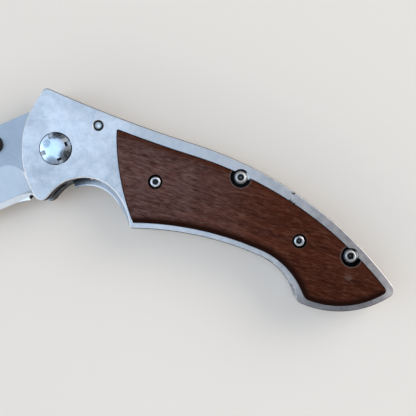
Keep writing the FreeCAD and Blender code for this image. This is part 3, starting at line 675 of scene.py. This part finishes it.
BORDER_DEPTH = (0.55, 0.75)
BORDER_SHADE = (0.012, 0.005, 0.004)
BODY_WELL_RIMS = (BODY_SCREWS, 3.03, 3.27, 0.08)
INLAY_WELL_RIMS = (INLAY_SCREWS, 2.08, 2.2, 0.08)
BODY_WELL_RIM_SHARE = 0.6
INLAY_WELL_RIM_SHARE = 0.25
WELL_RIM_HIGHLIGHT = (0.15, 0.12, 0.115)
BODY_WELLS = (BODY_SCREWS, 3.02, 0.12)
INLAY_WELLS = (INLAY_SCREWS, 2.07, 0.12)
WOOD_WELL_SHADE = (0.006, 0.005, 0.005)
WOOD_ROUGH = (0.46, 0.62)
ROLLED_ROUGHER = 0.2
WOOD_SPECULAR = 0.05
FIBRE_HEIGHT = 0.4
WOOD_RELIEF = (0.00003, 0.6)


def dark_wood():
    """Streaked along the grain, with a painted sheen by the bolster, redder by the butt, and painted shade on
    its lower roll, along its border and in its screw wells.
    """
    look = Look("dark_wood")
    bend = look.noise(look.place, *WOOD_BEND, "Color")
    grain = look.turned(look.shifted(look.place, bend, WOOD_BEND_BY), -GRAIN_ANGLE)
    bands = look.streaks(grain, *WOOD_BANDS)
    fibres = look.streaks(grain, *WOOD_FIBRES)
    pores = look.between(look.streaks(grain, *WOOD_PORES), *PORE_RANGE)
    left = look.along_x(*FADED_TO, *FALLING)
    fall = look.math("ADD", look.depth(), INLAY_PROUD)
    rolled = look.between(fall, *INLAY_ROLL)

    colour = look.mix(left, look.ramp(bands, BUTT_RAMP), look.ramp(bands, BOLSTER_RAMP))
    colour = look.coat(colour, FIBRE, look.between(fibres, *FIBRE_SHARE))
    cloud = look.noise(look.place, *WOOD_CLOUD)
    # A painted sheen in patches on the wood by the bolster.
    sheen = look.between(cloud, *NOISE_RANGE, *SHEEN_PATCHES)
    colour = look.coat(colour, PAINTED_SHEEN, sheen, left, SHEEN_SHARE, look.outside(rolled))
    pale = look.mix(left, PALE_BY_BUTT, PALE_BY_BOLSTER)
    grains = look.streaks(grain, *WOOD_GRAINS)
    colour = look.coat(colour, pale, look.between(grains, *PALE_GRAIN_SHARE))
    colour = look.coat(colour, DARK_GRAIN, look.between(grains, *DARK_GRAIN_SHARE))
    blotches = look.streaks(grain, *WOOD_BLOTCHES)
    colour = look.coat(colour, pale, look.between(blotches, *PALE_BLOTCH_SHARE))
    colour = look.coat(colour, DARK_GRAIN, look.between(blotches, *DARK_BLOTCH_SHARE))
    colour = look.coat(colour, PORE, pores, share=0.6)

    flecks = look.between(look.streaks(look.turned(grain, FLECK_ANGLE), *WOOD_FLECKS), *FLECK_RANGE)
    flecks = look.times(flecks, look.math("ADD", look.times(left, FLECKS_BY_BOLSTER), FLECKS_ALL_OVER))
    ragged = look.shifted(look.place, look.noise(look.place, *SCUFF_NOISE, "Color"), SCUFF_BY)
    scuff = look.times(look.near(*WOOD_SCUFF, ragged), SCUFF_SHARE)
    colour = look.coat(colour, FLECK, look.most(flecks, scuff))

    # Darker rolled edges, partly dirt and partly painted shade.
    colour = look.coat(colour, ROLL_DIRT_AND_SHADE, rolled, share=0.6)
    # Painted shade on the lower roll.
    lower = look.faces("Y", *TO_LOWER_RIM, *FALLING)
    colour = look.coat(colour, LOWER_ROLL_SHADE, look.between(fall, *LOWER_ROLL), lower, share=0.95)
    # Painted shade along the wood's border at the bolster and down its roll.
    border = look.between(look.outside(look.near(*INSIDE_ARC)), *BORDER_RANGE)
    border = look.most(border, look.between(fall, *BORDER_DEPTH))
    colour = look.coat(colour, BORDER_SHADE, border, share=0.9)
    # Painted highlights on the rims of the screw wells.
    body_rims = look.times(look.ring(*BODY_WELL_RIMS), BODY_WELL_RIM_SHARE)
    inlay_rims = look.times(look.ring(*INLAY_WELL_RIMS), INLAY_WELL_RIM_SHARE)
    colour = look.coat(colour, WELL_RIM_HIGHLIGHT, look.most(body_rims, inlay_rims))
    # Painted shade in the screw wells.
    colour = look.coat(colour, WOOD_WELL_SHADE, look.most(look.near(*BODY_WELLS), look.near(*INLAY_WELLS)))

    rough = look.between(fibres, *NOISE_RANGE, *WOOD_ROUGH)
    rough = look.math("ADD", rough, look.times(rolled, ROLLED_ROUGHER), clamp=True)
    look.set(Base_Color=colour, Roughness=rough, Specular_IOR_Level=WOOD_SPECULAR)
    look.bump(look.math("SUBTRACT", look.times(fibres, FIBRE_HEIGHT), pores), *WOOD_RELIEF)
    return look.material


LOOKS = {
    "frame_steel": tumbled_steel(),
    "dark_wood": dark_wood(),
    "screw_steel": screw_steel(),
    "spring_steel": spring_steel(),
    "polished_steel": polished_steel(),
    "bronze": bronze(),
    "blade_steel": blade_steel(),
    "black_steel": black_steel(),
}
for subpart in frame["record"]["subparts"]:
    mesh = frame["nodes"][subpart["node"]].data
    mesh.materials.clear()
    mesh.materials.append(LOOKS[subpart["material_slot"]])


def floor():
    mesh = bpy.data.meshes.new("floor")
    half = FLOOR_HALF
    corners = [(-half, -half, 0), (half, -half, 0), (half, half, 0), (-half, half, 0)]
    mesh.from_pydata(corners, [], [(0, 1, 2, 3)])
    made = bpy.data.objects.new("floor", mesh)
    made.location.z = -FLOOR_DROP
    bpy.context.scene.collection.objects.link(made)
    look = Look("floor")
    soft = look.noise(look.place, *FLOOR_NOISE)
    look.set(Base_Color=look.ramp(soft, FLOOR_RAMP), Roughness=FLOOR_ROUGH, Specular_IOR_Level=FLOOR_SPECULAR)
    mesh.materials.append(look.material)


def lamp(name, at, aim, size, power, colour):
    data = bpy.data.lights.new(name, "AREA")
    data.shape = "RECTANGLE"
    data.size, data.size_y = size
    data.energy = power
    data.color = colour
    made = bpy.data.objects.new(name, data)
    made.location = at
    made.rotation_euler = (made.location - Vector(aim)).to_track_quat("Z", "Y").to_euler()
    bpy.context.scene.collection.objects.link(made)


def world():
    """Soft light from above, bluish on the left as from a window, dim near the horizon."""
    studio = bpy.data.worlds.new("studio")
    studio.use_nodes = True
    tree = studio.node_tree
    coords = tree.nodes.new("ShaderNodeTexCoord")

    def towards(direction):
        dot = tree.nodes.new("ShaderNodeVectorMath")
        dot.operation = "DOT_PRODUCT"
        tree.links.new(coords.outputs["Generated"], dot.inputs[0])
        length = math.sqrt(sum(c * c for c in direction))
        dot.inputs[1].default_value = [c / length for c in direction]
        return dot.outputs["Value"]

    def combined(operation, *values):
        made = tree.nodes.new("ShaderNodeMath")
        made.operation = operation
        for k, value in enumerate(values):
            tree.links.new(value, made.inputs[k])
        return made.outputs[0]

    def ranged(value, low, high, to_low, to_high):
        made = tree.nodes.new("ShaderNodeMapRange")
        made.interpolation_type = "SMOOTHSTEP"
        for k, number in enumerate([low, high, to_low, to_high]):
            made.inputs[k + 1].default_value = number
        tree.links.new(value, made.inputs[0])
        return made.outputs[0]

    colour = tree.nodes.new("ShaderNodeMix")
    colour.data_type = "RGBA"
    tree.links.new(ranged(towards(WINDOW_AT), *WINDOW_EDGE, 0.0, 1.0), colour.inputs[0])
    colour.inputs[6].default_value = (*DOME, 1.0)
    colour.inputs[7].default_value = (*WINDOW, 1.0)
    across = combined("ABSOLUTE", towards((1.0, 0.0, 0.0)))
    strength = combined("ADD", ranged(towards((0.0, 0.0, 1.0)), *HORIZON), ranged(across, *SIDES))
    for direction, outer, inner, dimmed in FLAGS:
        strength = combined("MULTIPLY", strength, ranged(towards(direction), outer, inner, 1.0, dimmed))
    light = tree.nodes["Background"]
    tree.links.new(colour.outputs[2], light.inputs["Color"])
    tree.links.new(strength, light.inputs["Strength"])
    bpy.context.scene.world = studio


def camera():
    data = bpy.data.cameras.new("camera")
    data.sensor_width = CAMERA_SENSOR
    data.lens = CAMERA_LENS
    data.shift_x = CAMERA_SHIFT
    data.clip_start, data.clip_end = CAMERA_CLIP
    made = bpy.data.objects.new("camera", data)
    made.location = [c * MM for c in CAMERA_AT]
    bpy.context.scene.collection.objects.link(made)
    bpy.context.scene.camera = made


floor()
world()
for row in LAMPS:
    lamp(*row)
camera()
bpy.context.scene.view_settings.view_transform = "Standard"
